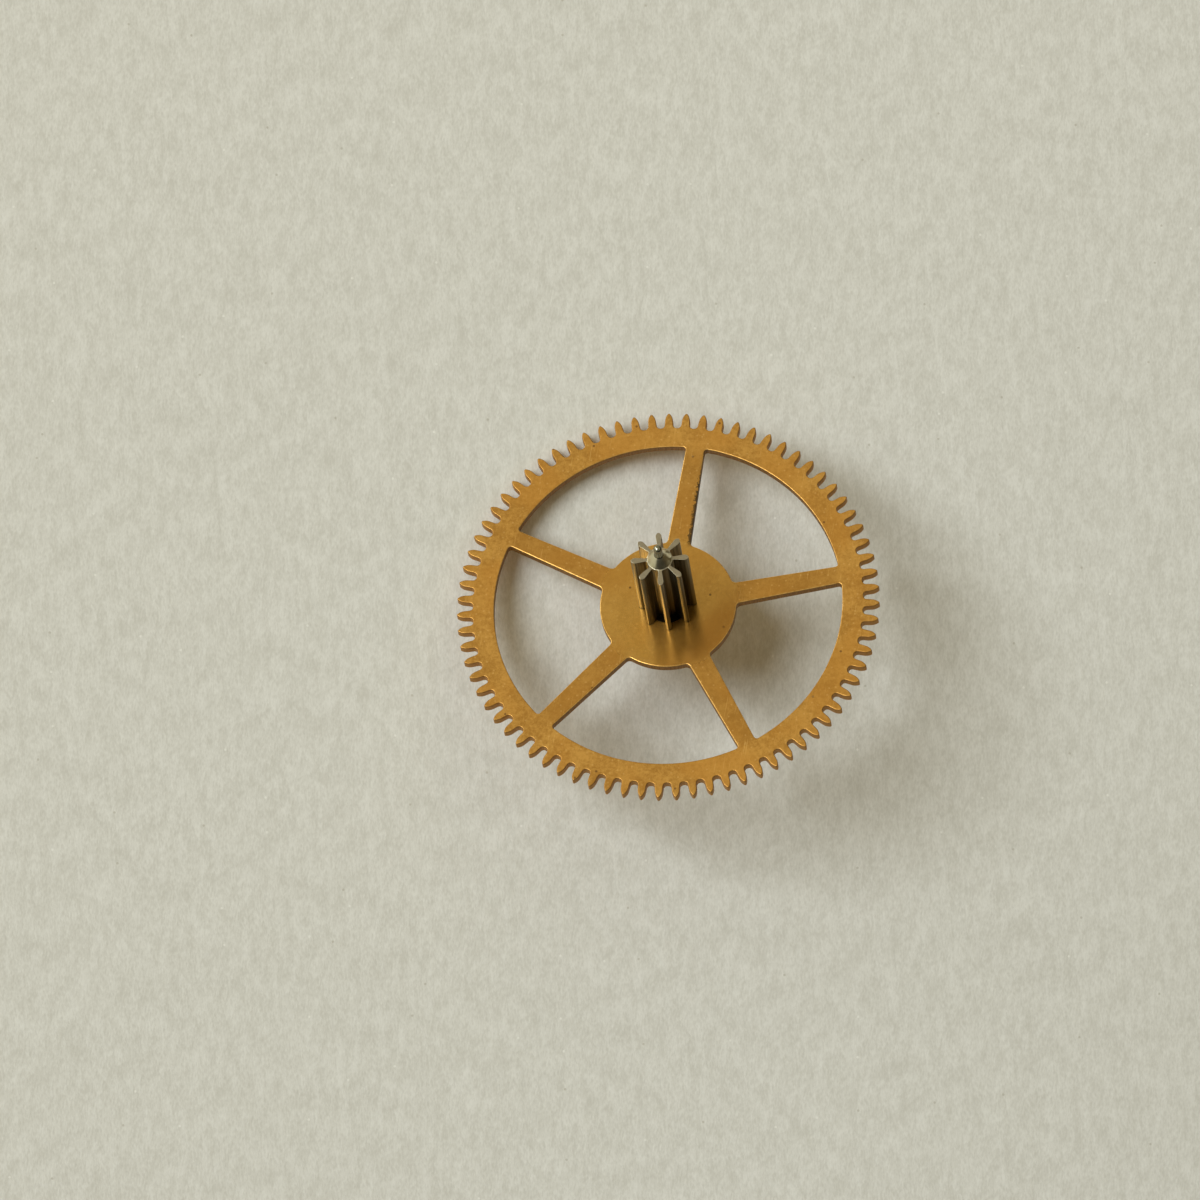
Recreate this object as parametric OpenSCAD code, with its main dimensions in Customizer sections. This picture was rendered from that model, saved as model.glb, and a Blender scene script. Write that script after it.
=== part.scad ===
// Watch center wheel: a crossed-out gilt brass wheel riveted to a cut steel pinion and arbor.
// The axis is +Z, with the pinion's leaves above the wheel and the cannon-pinion post below.
// The origin is on the axis at the middle of the wheel's thickness. The first spoke points
// along +Y.

/* [Wheel] */
// Diameter over the tooth tips
wheel_d = 14; // [10:0.5:18]
// Number of teeth
wheel_teeth = 75; // [60:5:90]
// Thickness of the sheet
wheel_t = 0.32; // [0.2:0.02:0.5]
// Radial width of the rim below the tooth roots
rim_w = 0.7; // [0.4:0.02:1.2]
// Diameter of the solid disc in the middle
hub_d = 4.52; // [3.6:0.02:6]
// Turn of the teeth from the first spoke, in degrees
tooth_lead = -0.8; // [-2.4:0.1:2.4]

/* [Wheel teeth] */
// Height of a tooth above the pitch circle, in modules
tooth_rise = 1.38; // [1.1:0.02:1.5]
// Depth of a tooth space below the pitch circle, in modules
tooth_fall = 1.57; // [1.3:0.01:1.7]
// Thickness of a tooth at the pitch circle, as a share of the pitch
tooth_share = 0.46; // [0.42:0.01:0.48]
// Lean of a tooth's flank towards its centre line, in degrees
tooth_lean = 4; // [0:1:6]
// Radius of the rounded tooth tip, in modules
tooth_tip_r = 0.28; // [0.1:0.02:0.36]
// Radius of the fillet at the foot of a tooth, in modules
tooth_foot_r = 0.66; // [0.2:0.02:0.68]

/* [Spokes] */
// Number of spokes
spokes = 5; // [3:1:6]
// Width of a spoke where it leaves the hub
spoke_w_hub = 0.76; // [0.5:0.02:1.1]
// Width of a spoke where it meets the rim
spoke_w_rim = 0.62; // [0.4:0.02:1]
// Radius of the corners between spoke and hub
hub_corner_r = 0.16; // [0.05:0.01:0.25]
// Radius of the corners between spoke and rim
rim_corner_r = 0.1; // [0.05:0.01:0.25]

/* [Pinion] */
// Number of leaves
leaves = 8; // [7:1:10]
// Module of the leaves
leaf_module = 0.2; // [0.19:0.005:0.22]
// Height of a leaf above the pitch circle, in modules
leaf_rise = 0.78; // [0.7:0.02:0.86]
// Thickness of a leaf at the pitch circle, as a share of the pitch
leaf_share = 0.31; // [0.28:0.01:0.38]
// Radius of the rounded leaf tip, in modules
leaf_tip_r = 0.25; // [0.1:0.01:0.3]
// Radius of the fillet at the foot of a leaf, in modules
leaf_foot_r = 0.25; // [0.1:0.01:0.3]
// Length of the leaves above the wheel
leaf_l = 3.55; // [2:0.05:4.5]
// Diameter of the core that the leaves stand on
core_d = 0.84; // [0.74:0.02:0.9]
// Turn of the leaves from the first spoke, in degrees
leaf_lead = 11.5; // [0:0.5:44.5]

/* [Arbor] */
// Height of the conical nose between the leaf ends and the upper pivot
nose_h = 0.36; // [0.2:0.02:0.6]
// Diameter of the upper pivot
upper_pivot_d = 0.28; // [0.2:0.02:0.5]
// Length of the upper pivot, without its rounded end
upper_pivot_l = 0.42; // [0.3:0.02:1.2]
// Diameter of the seat that the wheel is riveted on
seat_d = 1.3; // [1.3:0.02:1.4]
// Diameter of the rivet spread into the countersink under the wheel
rivet_d = 1.66; // [1.6:0.02:1.9]
// Depth of that countersink
rivet_sink = 0.12; // [0.06:0.02:0.16]
// Height that the rivet stands below the wheel
rivet_h = 0.06; // [0.02:0.02:0.1]
// Diameter of the shoulder that runs against the lower plate
shoulder_d = 1.28; // [1.1:0.02:1.3]
// Height of that shoulder below the rivet
shoulder_h = 0.3; // [0.1:0.02:0.6]
// Diameter of the lower pivot
lower_pivot_d = 0.96; // [0.8:0.02:1.06]
// Length of the lower pivot
lower_pivot_l = 0.94; // [0.6:0.02:1.6]
// Diameter of the post that carries the cannon pinion
post_d = 0.64; // [0.5:0.02:0.76]
// Length of the post, without its rounded end
post_l = 1.74; // [1.4:0.02:4]
// Height of the snap groove above the end of the post
groove_up = 0.96; // [0.5:0.02:1]
// Width of the snap groove
groove_w = 0.28; // [0.12:0.02:0.4]
// Depth of the snap groove, which is cut to a V
groove_depth = 0.05; // [0.02:0.01:0.08]

/* [Hidden] */
gilt = [0.72, 0.52, 0.22];
steel = [0.45, 0.45, 0.43];
$fn = 96;
// Segments in each small arc of a tooth, leaf or corner
arc_steps = 4;
// Segments in half of a window's arc along the rim or the hub
window_steps = 12;
// Radius of the cone's slight bulge, and the flat ledge round its foot
nose_bulge_r = 1.2;
nose_ledge = 0.02;
// Bulge radius of a rounded end, as a share of the radius that it closes
end_bulge = 1.15;
// Height of a rounded end, as a share of the radius that it closes
end_share = 0.6;

// The wheel's circles, from the tips inwards
wheel_module = wheel_d / (wheel_teeth + 2 * tooth_rise);
tooth_pitch_r = wheel_module * wheel_teeth / 2;
tooth_root_r = tooth_pitch_r - tooth_fall * wheel_module;
rim_inner_r = tooth_root_r - rim_w;
hub_r = hub_d / 2;
// Lean of a spoke's side towards its centre line
spoke_taper = atan((spoke_w_hub - spoke_w_rim) / 2 / (rim_inner_r - hub_r));

// The pinion's circles
leaf_pitch_r = leaf_module * leaves / 2;
leaf_half_w = leaf_share * PI * leaf_module / 2;
core_r = core_d / 2;

// Heights along the axis, from the pinion's end down to the end of the post
face_top = wheel_t / 2;
face_bottom = -wheel_t / 2;
leaf_top = face_top + leaf_l;
nose_top = leaf_top + nose_h;
pivot_top = nose_top + upper_pivot_l;
rivet_bottom = face_bottom - rivet_h;
shoulder_bottom = rivet_bottom - shoulder_h;
pivot_bottom = shoulder_bottom - lower_pivot_l;
post_bottom = pivot_bottom - post_l;
groove_bottom = post_bottom + groove_up;
groove_top = groove_bottom + groove_w;

function heading(angle) = [cos(angle), sin(angle)];
function bearing(p) = atan2(p.y, p.x);
function turned(p, angle) = [p.x * cos(angle) - p.y * sin(angle), p.x * sin(angle) + p.y * cos(angle)];
function reversed(points) = [for (i = [len(points) - 1:-1:0]) points[i]];
function flipped(points) = [for (p = points) [p.x, -p.y]];

// Points on an arc about a centre, from one bearing to another
function arc(centre, r, from, to, steps) =
    [for (i = [0:steps]) centre + r * heading(from + (to - from) * i / steps)];

// Points on the arc of radius r that joins p to q and bulges to the right of the way from p to q
function arc_between(p, q, r, steps) =
    let (
        half = (q - p) / 2,
        reach = sqrt(r * r - half * half),
        centre = p + half + reach * [-half.y, half.x] / norm(half),
        from = bearing(p - centre),
        to = bearing(q - centre)
    )
    arc(centre, r, from, to < from ? to + 360 : to, steps);

// Centre of a fillet of radius r against a straight side and a circle about the origin. The side
// passes through p, leans by lean degrees from the X axis, and the fillet lies to its left.
// reach is the distance from the origin to the fillet's centre.
function fillet_centre(p, lean, r, reach) =
    let (
        along = [cos(lean), -sin(lean)],
        out = [sin(lean), cos(lean)],
        offset = p * out + r
    )
    sqrt(reach * reach - offset * offset) * along + offset * out;

// One side of a tooth whose centre line is the X axis, from the tooth space to the tip: a fillet
// on the root circle, a straight flank up to the pitch circle, an ogive arc and a rounded tip,
// each tangent to the next.
function tooth_side(pitch_r, half_w, lean, root_r, foot_r, tip_r, tip_round) =
    let (
        out = [sin(lean), cos(lean)],
        foot = fillet_centre([pitch_r, half_w], lean, foot_r, root_r + foot_r),
        tip = [tip_r - tip_round, 0],
        span = [pitch_r, half_w] - tip,
        ogive_r = (span * span - tip_round * tip_round) / (2 * (span * out - tip_round)),
        ogive = [pitch_r, half_w] - ogive_r * out,
        join = bearing(tip - ogive)
    )
    concat(
        arc(foot, foot_r, bearing(foot) + 180, 270 - lean, arc_steps),
        arc(ogive, ogive_r, 90 - lean, join, arc_steps),
        [for (i = [1:2]) tip + tip_round * heading(join * (1 - i / 2))]
    );

// The whole outline of a wheel or pinion with its first tooth on the X axis
function toothed_outline(count, side, root_r) =
    let (
        step = 360 / count,
        foot = bearing(side[0]),
        space_steps = ceil((step - 2 * foot) / 6),
        space = arc([0, 0], root_r, foot - step, -foot, space_steps),
        tooth = concat(
            [for (i = [1:1:space_steps - 1]) space[i]],
            flipped(side),
            [for (i = [1:len(side) - 1]) reversed(side)[i]]
        )
    )
    [for (k = [0:count - 1]) each [for (p = tooth) turned(p, k * step)]];

module wheel_outline() {
    side = tooth_side(tooth_pitch_r, tooth_share * PI * wheel_module / 2, tooth_lean,
        tooth_root_r, tooth_foot_r * wheel_module, wheel_d / 2, tooth_tip_r * wheel_module);
    rotate(90 + tooth_lead) polygon(toothed_outline(wheel_teeth, side, tooth_root_r));
}

module pinion_outline() {
    radial_lean = -bearing([leaf_pitch_r, leaf_half_w]);
    tip_r = leaf_pitch_r + leaf_rise * leaf_module;
    side = tooth_side(leaf_pitch_r, leaf_half_w, radial_lean,
        core_r, leaf_foot_r * leaf_module, tip_r, leaf_tip_r * leaf_module);
    rotate(90 + leaf_lead) polygon(toothed_outline(leaves, side, core_r));
}

// Half of the window between two spokes, from the line half way between them, which is middle
// degrees from the X axis, down to the side of the spoke on the X axis: hub, hub corner, spoke,
// rim corner and rim
function window_side(middle) =
    let (
        foot = [hub_r, spoke_w_hub / 2],
        inner = fillet_centre(foot, spoke_taper, hub_corner_r, hub_r + hub_corner_r),
        outer = fillet_centre(foot, spoke_taper, rim_corner_r, rim_inner_r - rim_corner_r)
    )
    concat(
        arc([0, 0], hub_r, middle, bearing(inner), window_steps),
        arc(inner, hub_corner_r, bearing(inner) + 180, 270 - spoke_taper, arc_steps),
        arc(outer, rim_corner_r, -90 - spoke_taper, bearing(outer), arc_steps),
        arc([0, 0], rim_inner_r, bearing(outer), middle, window_steps)
    );

// The windows between hub, spokes and rim
module windows() {
    middle = 180 / spokes;
    half = [for (p = window_side(middle)) turned(p, -middle)];
    for (k = [0:spokes - 1]) rotate(90 + (2 * k + 1) * middle)
        polygon(concat(half, reversed(flipped(half))));
}

// The riveting: a straight seat through the wheel and a cone that opens downwards
module rivet_seat() {
    sink_top = face_bottom + rivet_sink;
    rotate_extrude() polygon([
        [0, face_top],
        [seat_d / 2, face_top],
        [seat_d / 2, sink_top],
        [rivet_d / 2, face_bottom],
        [0, face_bottom]
    ]);
}

module wheel() {
    color(gilt) difference() {
        translate([0, 0, face_bottom]) linear_extrude(wheel_t) difference() {
            wheel_outline();
            windows();
        }
        rivet_seat();
    }
}

module leaves_and_core() {
    translate([0, 0, face_top]) linear_extrude(leaf_l) pinion_outline();
}

// The conical nose above the leaves, with the upper pivot and its rounded end
module upper_pivot() {
    r = upper_pivot_d / 2;
    nose = arc_between([core_r - nose_ledge, leaf_top], [r, nose_top], nose_bulge_r, 4);
    end = arc_between([r, pivot_top], [0, pivot_top + r * end_share], r * end_bulge, 6);
    rotate_extrude() polygon(concat([[0, leaf_top]], nose, end));
}

// The spread rivet, the shoulder, the lower pivot and the post with its snap groove
module lower_arbor() {
    r = post_d / 2;
    rivet = [[0, face_bottom], [rivet_d / 2, face_bottom], [shoulder_d / 2, rivet_bottom]];
    shoulder = [[shoulder_d / 2, shoulder_bottom], [lower_pivot_d / 2, shoulder_bottom]];
    pivot = [[lower_pivot_d / 2, pivot_bottom], [r, pivot_bottom]];
    groove = [[r, groove_top], [r - groove_depth, groove_top - groove_w / 2], [r, groove_bottom]];
    end = reversed(arc_between([0, post_bottom - r * end_share], [r, post_bottom], r * end_bulge, 6));
    rotate_extrude() polygon(concat(rivet, shoulder, pivot, groove, end));
}

module pinion_arbor() {
    color(steel) union() {
        leaves_and_core();
        upper_pivot();
        rivet_seat();
        lower_arbor();
    }
}

wheel();
pinion_arbor();
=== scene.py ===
import math

import bpy
import numpy as np
from mathutils import Matrix, Vector

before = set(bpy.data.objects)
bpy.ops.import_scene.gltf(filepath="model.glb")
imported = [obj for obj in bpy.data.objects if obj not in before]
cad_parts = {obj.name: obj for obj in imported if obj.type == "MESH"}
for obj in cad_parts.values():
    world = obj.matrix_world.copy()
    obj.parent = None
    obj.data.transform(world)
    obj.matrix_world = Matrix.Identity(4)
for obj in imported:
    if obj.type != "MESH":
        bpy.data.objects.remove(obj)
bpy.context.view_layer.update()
MM = 0.001
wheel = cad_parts["wheel"]
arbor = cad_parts["pinion_arbor"]

# Camera, at the photo's viewing angle
TILT = math.radians(25.5)       # between the view and the wheel's axis
LEAN = math.radians(10.9)       # how far the axis leans left of the picture's upright
SIDE = math.radians(-71.0)      # heading from the axis to the camera
RANGE = 700 * MM
FRAME = 1200                    # the photo's width in pixels
PX = 7 * MM / 212               # metres to one of the photo's pixels
AIM_LEFT = 68.0 * PX            # from the hub's middle to the frame's
AIM_UP = 4.5 * PX
WHEEL_TOP = 0.16 * MM
SENSOR = 36

# The paper and the lamps. The lamp's angle is measured from the paper's normal, and its heading
# in the picture, anticlockwise from the right.
TOUCH = math.radians(140)       # heading of the tooth that touches the paper
STEEPEST = math.radians(45)
PAPER_R = 90 * MM
PAPER_GAP = 0.002 * MM
STEEP = math.radians(43.8)
AROUND = math.radians(168.3)
WINDOW_LIGHT = 0.7              # what the window adds on the paper, where 1 is white
WINDOW_WIDTH = 0.55
FOOT_FROM = Vector((-0.81, 0.34, 0.42))
FOOT_LIGHT = 1.3
FOOT_WIDTH = 0.5
SURROUND_LIGHT = 0.58

# The dark cards: a curved one from the front round the right, and one behind the camera
CARD_REACH = 220 * MM
CARD_LOW = -60 * MM
CARD_HIGH = 160 * MM
CARD_START = -115               # heading in degrees
CARD_STEP = 10
CARD_COLUMNS = 20
BACK_CARD_RANGE = 250 * MM
BACK_CARD_HALF = 70 * MM

# Rounded edges
WHEEL_EDGE = 0.035 * MM
ARBOR_EDGE = 0.02 * MM
WELD = 0.0001 * MM
FLAT = math.radians(0.8)
CORNER = math.radians(40)

# Where the finish changes, each a ramp from its first number to its second. The size of the
# normal's Z tells faces from walls.
FACE = (0.9, 0.98)
WALL = (0.45, 0.2)
UNDERSIDE = (-0.9, -0.98)

# On the wheel, in millimetres from the axis
HUB = (2.6, 2.1)
SPOKE_START = (2.2, 2.6)
SPOKE_END = (5.9, 5.5)
RIM = (5.45, 5.65)
TEETH = (6.0, 6.3)

# On the arbor, in millimetres from the axis and along it
CORE_OUT = (0.38, 0.42)
GROOVE_IN = (0.9, 0.72)
NOSE_OUT = (0.15, 0.17)
PIVOT_IN = (0.17, 0.15)
PINION_UP = (-0.1, 0.0)
PINION_DOWN = (3.72, 3.68)
FOOT_DOWN = (0.26, 0.18)
LEAF_END_UP = (3.5, 3.6)
NOSE_UP = (3.6, 3.7)
PIVOT_UP = (3.9, 4.0)


def srgb(*rgb):
    """A linear colour from screen values of 0 to 255."""
    return tuple(((c / 255 + 0.055) / 1.055) ** 2.4 for c in rgb) + (1.0,)


# Camera
toward = Vector((math.sin(TILT) * math.cos(SIDE), math.sin(TILT) * math.sin(SIDE), math.cos(TILT)))
axis_up = (Vector((0, 0, 1)) - toward * toward.z).normalized()
axis_right = axis_up.cross(toward)
up = axis_up * math.cos(LEAN) + axis_right * math.sin(LEAN)
right = axis_right * math.cos(LEAN) - axis_up * math.sin(LEAN)


def turned(x, y, z, place):
    """A matrix with these three axes, at this place."""
    made = Matrix((x, y, z)).transposed().to_4x4()
    made.translation = place
    return made


camera = bpy.data.objects.new("camera", bpy.data.cameras.new("camera"))
bpy.context.scene.collection.objects.link(camera)
bpy.context.scene.camera = camera
camera.data.lens = SENSOR * RANGE / (FRAME * PX)
camera.data.clip_start = 0.01
camera.data.clip_end = 10
target = Vector((0, 0, WHEEL_TOP)) - right * AIM_LEFT + up * AIM_UP
camera.matrix_world = turned(right, up, toward, target + toward * RANGE)


# Node helper: builds a material from short lines
class Shade:
    def __init__(self, name):
        self.material = bpy.data.materials.new(name)
        self.material.use_nodes = True
        self.tree = self.material.node_tree
        self.tree.nodes.clear()
        self.out = self.tree.nodes.new("ShaderNodeOutputMaterial")

    def node(self, kind, inputs=None, **settings):
        made = self.tree.nodes.new("ShaderNode" + kind)
        for key, value in settings.items():
            setattr(made, key, value)
        for key, value in (inputs or {}).items():
            if isinstance(value, bpy.types.NodeSocket):
                self.tree.links.new(value, made.inputs[key])
            else:
                made.inputs[key].default_value = value
        return made

    def math(self, operation, a, b=0.0):
        return self.node("Math", {0: a, 1: b}, operation=operation).outputs[0]

    def times(self, a, b):
        return self.math("MULTIPLY", a, b)

    def plus(self, a, b):
        return self.math("ADD", a, b)

    def mix(self, factor, a, b):
        return self.node("Mix", {0: factor, 6: a, 7: b}, data_type="RGBA").outputs[2]

    def blend(self, factor, a, b):
        return self.node("Mix", {0: factor, 2: a, 3: b}, data_type="FLOAT").outputs[0]

    def ramp(self, value, start, end):
        """0 at the start, 1 at the end, smooth between them. The end may be the lower number."""
        inputs = {0: value, 1: start, 2: end}
        return self.node("MapRange", inputs, interpolation_type="SMOOTHSTEP").outputs[0]

    def noise(self, vector, scale, detail=3.0, roughness=0.5):
        inputs = {"Vector": vector, "Scale": scale, "Detail": detail, "Roughness": roughness}
        return self.node("TexNoise", inputs).outputs["Fac"]

    def specks(self, vector, scale, share, size):
        """Round specks at random places in the object's XY plane."""
        cell = self.node("TexVoronoi", {"Vector": vector, "Scale": scale}, voronoi_dimensions="2D")
        chance = self.node("SeparateColor", {0: cell.outputs["Color"]}).outputs[0]
        chosen = self.ramp(chance, 1.0 - share, 1.01 - share)
        dot = self.ramp(cell.outputs["Distance"], size * scale, 0.6 * size * scale)
        return self.times(dot, chosen)

    def place(self):
        """The object's own coordinates in millimetres."""
        coords = self.node("TexCoord").outputs["Object"]
        return self.node("VectorMath", {0: coords, 3: 1000.0}, operation="SCALE").outputs[0]

    def stretch(self, vector, scale, turn=0.0):
        inputs = {"Vector": vector, "Scale": scale, "Rotation": (0, 0, turn)}
        return self.node("Mapping", inputs).outputs[0]

    def split(self, vector):
        return self.node("SeparateXYZ", {0: vector}).outputs

    def normal_z(self):
        return self.split(self.node("NewGeometry").outputs["Normal"])[2]

    def from_axis(self, x, y):
        return self.math("SQRT", self.plus(self.times(x, x), self.times(y, y)))

    def bump(self, strength, distance, height):
        inputs = {"Strength": strength, "Distance": distance, "Height": height}
        return self.node("Bump", inputs).outputs[0]

    def finish(self, shader):
        self.tree.links.new(shader, self.out.inputs["Surface"])
        return self.material


# Gilt brass
def gilding(s, p, r, tone, on_hub):
    """Mottled, lighter on the hub, darker on the spokes and redder in places."""
    gilt = s.mix(tone, srgb(162, 113, 40), srgb(192, 142, 63))
    gilt = s.mix(s.times(on_hub, 0.5), gilt, srgb(212, 162, 78))
    redder = s.ramp(s.noise(p, 0.45, 2.0), 0.42, 0.62)
    gilt = s.mix(s.times(redder, 0.45), gilt, srgb(186, 128, 46))
    on_spoke = s.times(s.ramp(r, *SPOKE_START), s.ramp(r, *SPOKE_END))
    return s.mix(s.times(on_spoke, 0.4), gilt, srgb(150, 103, 34))


def scratches(s, p):
    """Fine scratches, in two directions."""
    one = s.ramp(s.noise(s.stretch(p, (26, 0.9, 1), 0.5), 1.0, 2.0), 0.66, 0.74)
    other = s.ramp(s.noise(s.stretch(p, (30, 1.1, 1), -0.9), 1.0, 2.0), 0.67, 0.75)
    return s.math("MAXIMUM", one, other)


def specked(s, p, gilt):
    """A few dark specks, and many faint light ones."""
    gilt = s.mix(s.times(s.specks(p, 1.5, 0.12, 0.05), 0.7), gilt, srgb(92, 58, 24))
    return s.mix(s.times(s.specks(p, 4.5, 0.3, 0.04), 0.18), gilt, srgb(232, 188, 112))


def hub_side_painted_shade(s, gilt, x, y, cloud, on_hub):
    """Darker and redder on the hub's far side: painted shade where the pinion's shadow falls."""
    far = s.math("SUBTRACT", s.times(x, 0.87), s.times(y, 0.5))
    amount = s.times(s.ramp(far, 0.8, 2.0), s.times(on_hub, s.blend(cloud, 0.35, 0.65)))
    return s.mix(amount, gilt, srgb(132, 80, 20))


def burred(s, colour, p, x, y):
    """Burr left by the saw on one side of the first spoke."""
    along = s.times(s.ramp(y, 2.1, 2.4), s.ramp(y, 5.6, 4.4))
    side = s.times(s.ramp(x, 0.2, 0.36), s.ramp(x, 0.5, 0.45))
    ragged = s.plus(s.noise(p, 9.0, 3.0, 0.7), s.times(side, 0.25))
    burr = s.times(s.ramp(side, 0.0, 0.2), s.ramp(ragged, 0.6, 0.68))
    return s.mix(s.times(along, burr), colour, srgb(92, 66, 26))


def gilt_brass():
    s = Shade("gilt_brass_satin")
    p = s.place()
    x, y = s.split(p)[:2]
    r = s.from_axis(x, y)
    normal_z = s.normal_z()
    level = s.math("ABSOLUTE", normal_z)
    face = s.ramp(level, *FACE)
    wall = s.ramp(level, *WALL)
    on_hub = s.ramp(r, *HUB)
    on_teeth = s.ramp(r, *TEETH)
    cloud = s.noise(p, 1.1, 4.0, 0.55)
    grain = s.noise(p, 9.0, 4.0, 0.65)
    tone = s.ramp(s.plus(s.times(cloud, 0.45), s.times(grain, 0.55)), 0.36, 0.64)

    scratch = scratches(s, p)
    gilt = gilding(s, p, r, tone, on_hub)
    gilt = s.mix(s.times(scratch, 0.35), gilt, srgb(218, 172, 94))
    # Specks, then painted shade on the hub's far side
    gilt = hub_side_painted_shade(s, specked(s, p, gilt), x, y, cloud, on_hub)

    # Dull sawn walls with file marks along the axis, lighter on the cut teeth; their darker colour
    # is partly painted shade, the reflection of the shaded paper below
    mark = s.noise(s.stretch(p, (34, 34, 2.5)), 1.0, 2.0)
    wall_marks_and_shade = s.mix(s.ramp(mark, 0.38, 0.62), srgb(128, 88, 36), srgb(152, 108, 50))
    wall_marks_and_shade = s.mix(s.times(on_teeth, 0.7), wall_marks_and_shade, srgb(182, 130, 58))

    # Edges lighter than the faces: rubbed wear and partly a painted highlight; on the rim and the
    # teeth darker than the faces instead, painted shade along their outlines
    edge_wear_and_light = s.mix(s.ramp(grain, 0.35, 0.6), srgb(196, 146, 68), srgb(226, 180, 100))
    less = s.times(s.plus(s.ramp(r, *RIM), on_teeth), 0.4)
    edge_wear_and_light = s.mix(less, edge_wear_and_light, srgb(140, 96, 36))

    # The underside is cleaner
    clean = s.mix(tone, srgb(222, 150, 64), srgb(240, 168, 78))
    colour = s.mix(wall, s.mix(face, edge_wear_and_light, gilt), wall_marks_and_shade)
    colour = s.mix(s.ramp(normal_z, *UNDERSIDE), colour, clean)
    colour = burred(s, colour, p, x, y)

    relief = s.plus(s.times(grain, 0.5), s.times(mark, wall))
    bump = s.bump(0.07, 0.00002, s.math("SUBTRACT", relief, scratch))
    satin = s.blend(on_hub, s.blend(grain, 0.29, 0.37), s.blend(grain, 0.15, 0.21))
    metal = s.blend(s.times(face, on_hub), 0.68, 0.8)
    rough = s.blend(wall, s.blend(face, s.blend(less, 0.3, 0.5), satin), 0.5)
    shader = s.node("BsdfPrincipled", {
        "Base Color": colour, "Metallic": metal, "Roughness": rough, "Normal": bump,
    }).outputs[0]
    return s.finish(shader)


# Steel, polished along the leaves and turned round on the arbor
def polished_steel():
    s = Shade("pinion_steel")
    p = s.place()
    x, y, z = s.split(p)
    r = s.from_axis(x, y)
    outside = s.times(s.ramp(r, *CORE_OUT), s.ramp(z, *LEAF_END_UP))
    end = s.times(s.ramp(s.normal_z(), *FACE), outside)
    in_pinion = s.times(s.ramp(z, *PINION_UP), s.ramp(z, *PINION_DOWN))
    groove = s.times(in_pinion, s.ramp(r, *GROOVE_IN))
    foot = s.times(in_pinion, s.ramp(z, *FOOT_DOWN))
    on_nose = s.times(s.ramp(z, *NOSE_UP), s.ramp(r, *NOSE_OUT))
    on_pivot = s.times(s.ramp(z, *PIVOT_UP), s.ramp(r, *PIVOT_IN))
    streak = s.noise(s.stretch(p, (26, 26, 0.4)), 1.0, 3.0)
    rings = s.noise(s.stretch(p, (0.6, 0.6, 30)), 1.0, 2.0)
    line = s.blend(in_pinion, rings, streak)
    grain = s.noise(p, 16.0, 3.0)

    steel = s.mix(s.ramp(line, 0.38, 0.62), srgb(178, 175, 164), srgb(196, 193, 182))
    # Painted highlight: the nose lighter and warmer than the other steel
    steel = s.mix(on_nose, steel, srgb(218, 210, 178))
    # Painted shade: the pivot darker than the other steel
    steel = s.mix(on_pivot, steel, srgb(140, 136, 114))

    # Leaves with matte ends, darker in the grooves, and painted shade at the foot where the leaves
    # meet the hub
    leaf = s.mix(s.ramp(streak, 0.36, 0.64), srgb(92, 86, 66), srgb(134, 128, 106))
    groove_darker = s.mix(s.ramp(streak, 0.4, 0.62), srgb(72, 62, 38), srgb(134, 122, 88))
    matte = s.mix(grain, srgb(118, 105, 80), srgb(146, 133, 106))
    flank = s.mix(s.times(groove, 0.5), leaf, groove_darker)
    # Painted shade at the foot of the leaves
    flank = s.mix(foot, flank, srgb(38, 30, 18))
    colour = s.mix(end, s.mix(in_pinion, steel, flank), matte)

    polish = s.blend(grain, s.blend(on_nose, 0.16, 0.26), s.blend(on_nose, 0.24, 0.33))
    rough = s.blend(end, s.blend(in_pinion, polish, s.blend(groove, 0.42, 0.4)), 0.48)
    shader = s.node("BsdfPrincipled", {
        "Base Color": colour, "Metallic": 1.0, "Roughness": rough,
        "Normal": s.bump(0.08, 0.00001, line),
    }).outputs[0]
    return s.finish(shader)


# Paper with fibres along the sheet, a soft cloudiness and a few specks
def paper():
    s = Shade("plain_paper")
    p = s.place()
    fibre = s.noise(s.stretch(p, (3.4, 1.3, 1.0), -0.28), 1.0, 6.0, 0.68)
    cloud = s.noise(p, 0.9, 5.0, 0.65)
    grain = s.noise(s.stretch(p, (15, 6, 1), -0.28), 1.0, 2.0, 0.6)
    tone = s.plus(s.times(fibre, 0.45), s.times(cloud, 0.2))
    tone = s.plus(tone, s.times(grain, 0.35))
    colour = s.mix(s.ramp(tone, 0.35, 0.65), srgb(192, 190, 178), srgb(213, 212, 202))
    colour = s.mix(s.times(s.specks(p, 0.4, 0.3, 0.05), 0.4), colour, srgb(150, 142, 118))
    colour = s.mix(s.times(s.specks(p, 0.7, 0.12, 0.05), 0.5), colour, srgb(230, 229, 220))
    inputs = {"Color": colour, "Normal": s.bump(0.25, 0.00005, tone)}
    sheet = s.node("BsdfDiffuse", inputs).outputs[0]

    # The sheet slopes, so it is clear from its back, where it would hide the object
    clear = s.node("BsdfTransparent").outputs[0]
    back = s.node("NewGeometry").outputs["Backfacing"]
    behind = s.times(back, s.node("LightPath").outputs["Is Camera Ray"])
    return s.finish(s.node("MixShader", {0: behind, 1: sheet, 2: clear}).outputs[0])


# Felt of the cards, fading from the front to the right
def dark_felt():
    s = Shade("dark_felt")
    p = s.place()
    fibre = s.noise(p, 0.4, 3.0)
    dark = s.mix(fibre, srgb(34, 33, 31), srgb(46, 44, 41))
    faded = s.mix(fibre, srgb(78, 68, 48), srgb(92, 82, 60))
    colour = s.mix(s.ramp(s.split(p)[1], -170, 20), dark, faded)
    return s.finish(s.node("BsdfDiffuse", {"Color": colour}).outputs[0])


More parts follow.
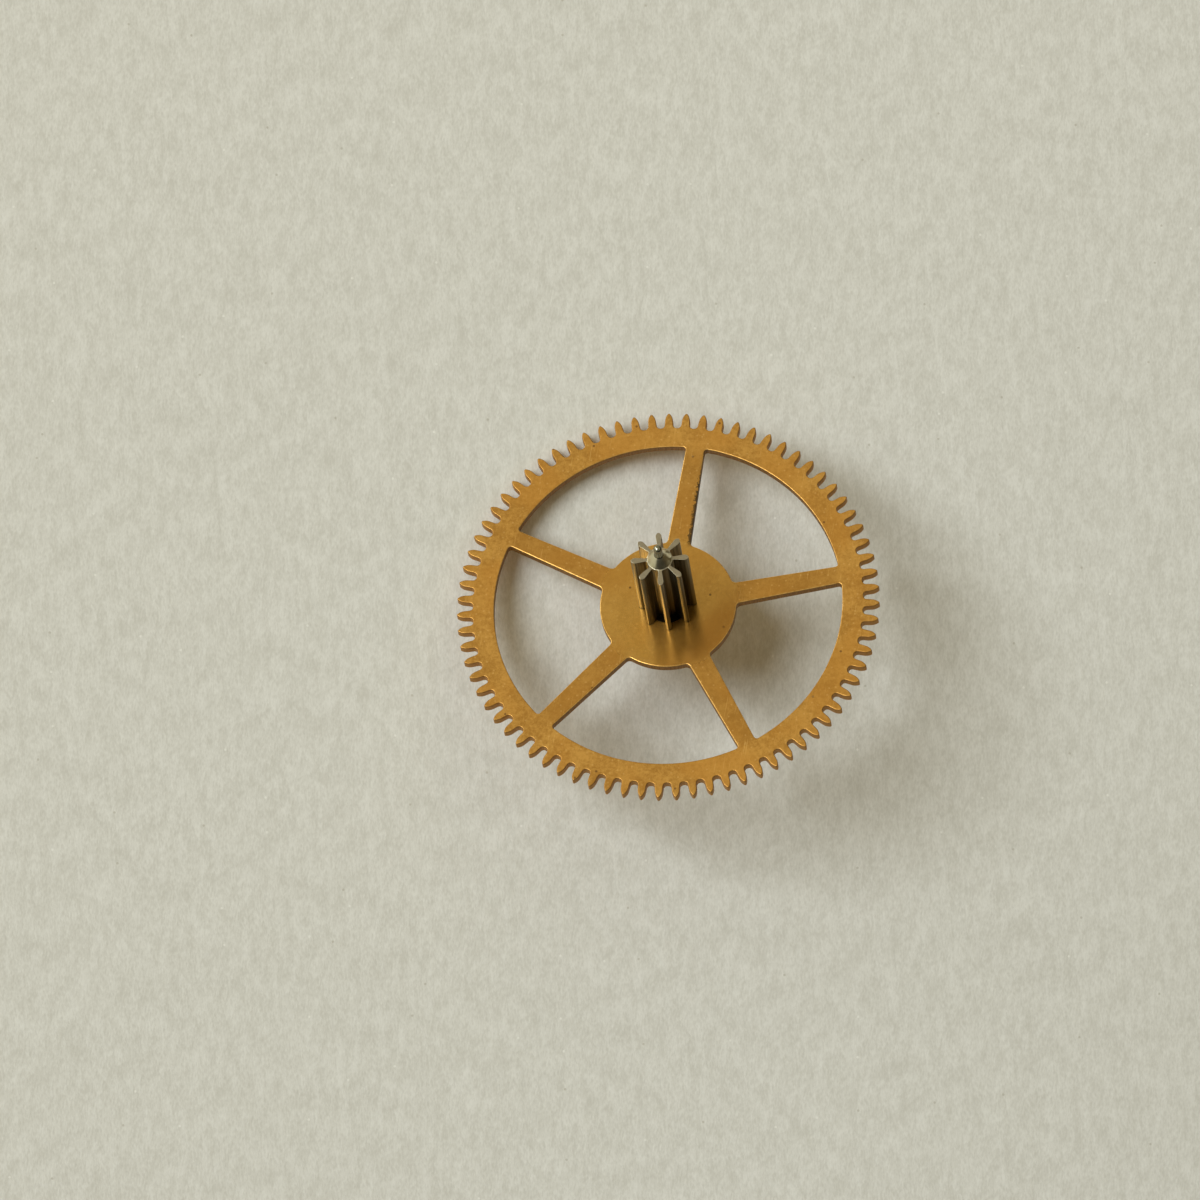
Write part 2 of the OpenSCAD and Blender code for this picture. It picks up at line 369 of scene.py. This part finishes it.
# CAD nodes keep their shape and get rounded edges and a finish
def dress(node, material, edge):
    node.data.materials[0] = material
    node.modifiers.new("weld", "WELD").merge_threshold = WELD
    flat = node.modifiers.new("flat", "DECIMATE")
    flat.decimate_type = "DISSOLVE"
    flat.angle_limit = FLAT
    round_edge = node.modifiers.new("edge", "BEVEL")
    round_edge.width = edge
    round_edge.segments = 2
    round_edge.limit_method = "ANGLE"
    round_edge.angle_limit = CORNER
    round_edge.harden_normals = True


dress(wheel, gilt_brass(), WHEEL_EDGE)
dress(arbor, polished_steel(), ARBOR_EDGE)


# The sheet of paper, sloping as in the photo: it touches the wheel's edge and the arbor's end
def lowest(node, normal):
    points = np.array([v.co for v in node.data.vertices])
    return float((points @ np.array(normal)).min())


def sheet_normal(slope):
    return Vector((
        -math.sin(slope) * math.cos(TOUCH),
        -math.sin(slope) * math.sin(TOUCH),
        math.cos(slope),
    ))


flatter, steeper = 0.0, STEEPEST
for _ in range(40):
    slope = (flatter + steeper) / 2
    normal = sheet_normal(slope)
    if lowest(arbor, normal) < lowest(wheel, normal):
        flatter = slope
    else:
        steeper = slope

bpy.ops.mesh.primitive_circle_add(vertices=96, radius=PAPER_R, fill_type="NGON")
floor = bpy.context.object
floor.name = "paper"
across = (right - normal * right.dot(normal)).normalized()
upward = normal.cross(across)
floor.matrix_world = turned(across, upward, normal, normal * (lowest(arbor, normal) - PAPER_GAP))
floor.data.materials.append(paper())


# Plain soft light from the left, and a weak low light that picks out the edges facing left
def sun(name, direction, angle, strength, colour):
    lamp = bpy.data.objects.new(name, bpy.data.lights.new(name, "SUN"))
    bpy.context.scene.collection.objects.link(lamp)
    lamp.data.angle = angle
    lamp.data.energy = strength
    lamp.data.color = colour
    lamp.matrix_world = direction.to_track_quat("Z", "Y").to_matrix().to_4x4()


heading = across * math.cos(AROUND) + upward * math.sin(AROUND)
ray = normal * math.cos(STEEP) + heading * math.sin(STEEP)
window_power = WINDOW_LIGHT * math.pi / math.cos(STEEP)
sun("window", ray, WINDOW_WIDTH, window_power, (0.84, 0.9, 0.98))
sun("window_foot", FOOT_FROM, FOOT_WIDTH, FOOT_LIGHT, (0.9, 0.94, 1.0))


# Dark cards that the camera doesn't see and the bright metal reflects, as in the photo
def dark_card(name, corners):
    """A card in columns, from its lower and upper corners in turn."""
    columns = len(corners) // 2
    faces = [(2 * i, 2 * i + 1, 2 * i + 3, 2 * i + 2) for i in range(columns - 1)]
    mesh = bpy.data.meshes.new(name)
    mesh.from_pydata(corners, [], faces)
    mesh.materials.append(dark_felt())
    card = bpy.data.objects.new(name, mesh)
    bpy.context.scene.collection.objects.link(card)
    card.visible_camera = False


bend = []
for i in range(CARD_COLUMNS):
    angle = math.radians(CARD_START + CARD_STEP * i)
    for height in (CARD_LOW, CARD_HIGH):
        bend.append((CARD_REACH * math.cos(angle), CARD_REACH * math.sin(angle), height))
dark_card("front_card", bend)

sides = (-BACK_CARD_HALF, BACK_CARD_HALF)
behind = toward * BACK_CARD_RANGE
dark_card("camera_card", [behind + right * u + up * v for u in sides for v in sides])

# The surround lights the rest of the paper, and metal shows the pale background that the camera sees
world = bpy.data.worlds.new("surround")
bpy.context.scene.world = world
world.use_nodes = True
tree = world.node_tree
light = tree.nodes["Background"]
light.inputs[0].default_value = srgb(255, 238, 192)
light.inputs[1].default_value = SURROUND_LIGHT
pale = tree.nodes.new("ShaderNodeBackground")
pale.inputs[0].default_value = srgb(200, 198, 182)
path = tree.nodes.new("ShaderNodeLightPath")
seen = path.outputs["Is Camera Ray"]
for name in ("Is Glossy Ray", "Is Transmission Ray"):
    either = tree.nodes.new("ShaderNodeMath")
    either.operation = "MAXIMUM"
    tree.links.new(seen, either.inputs[0])
    tree.links.new(path.outputs[name], either.inputs[1])
    seen = either.outputs[0]
choose = tree.nodes.new("ShaderNodeMixShader")
for source, socket in ((seen, 0), (light.outputs[0], 1), (pale.outputs[0], 2)):
    tree.links.new(source, choose.inputs[socket])
tree.links.new(choose.outputs[0], tree.nodes["World Output"].inputs["Surface"])

bpy.context.scene.view_settings.view_transform = "Standard"
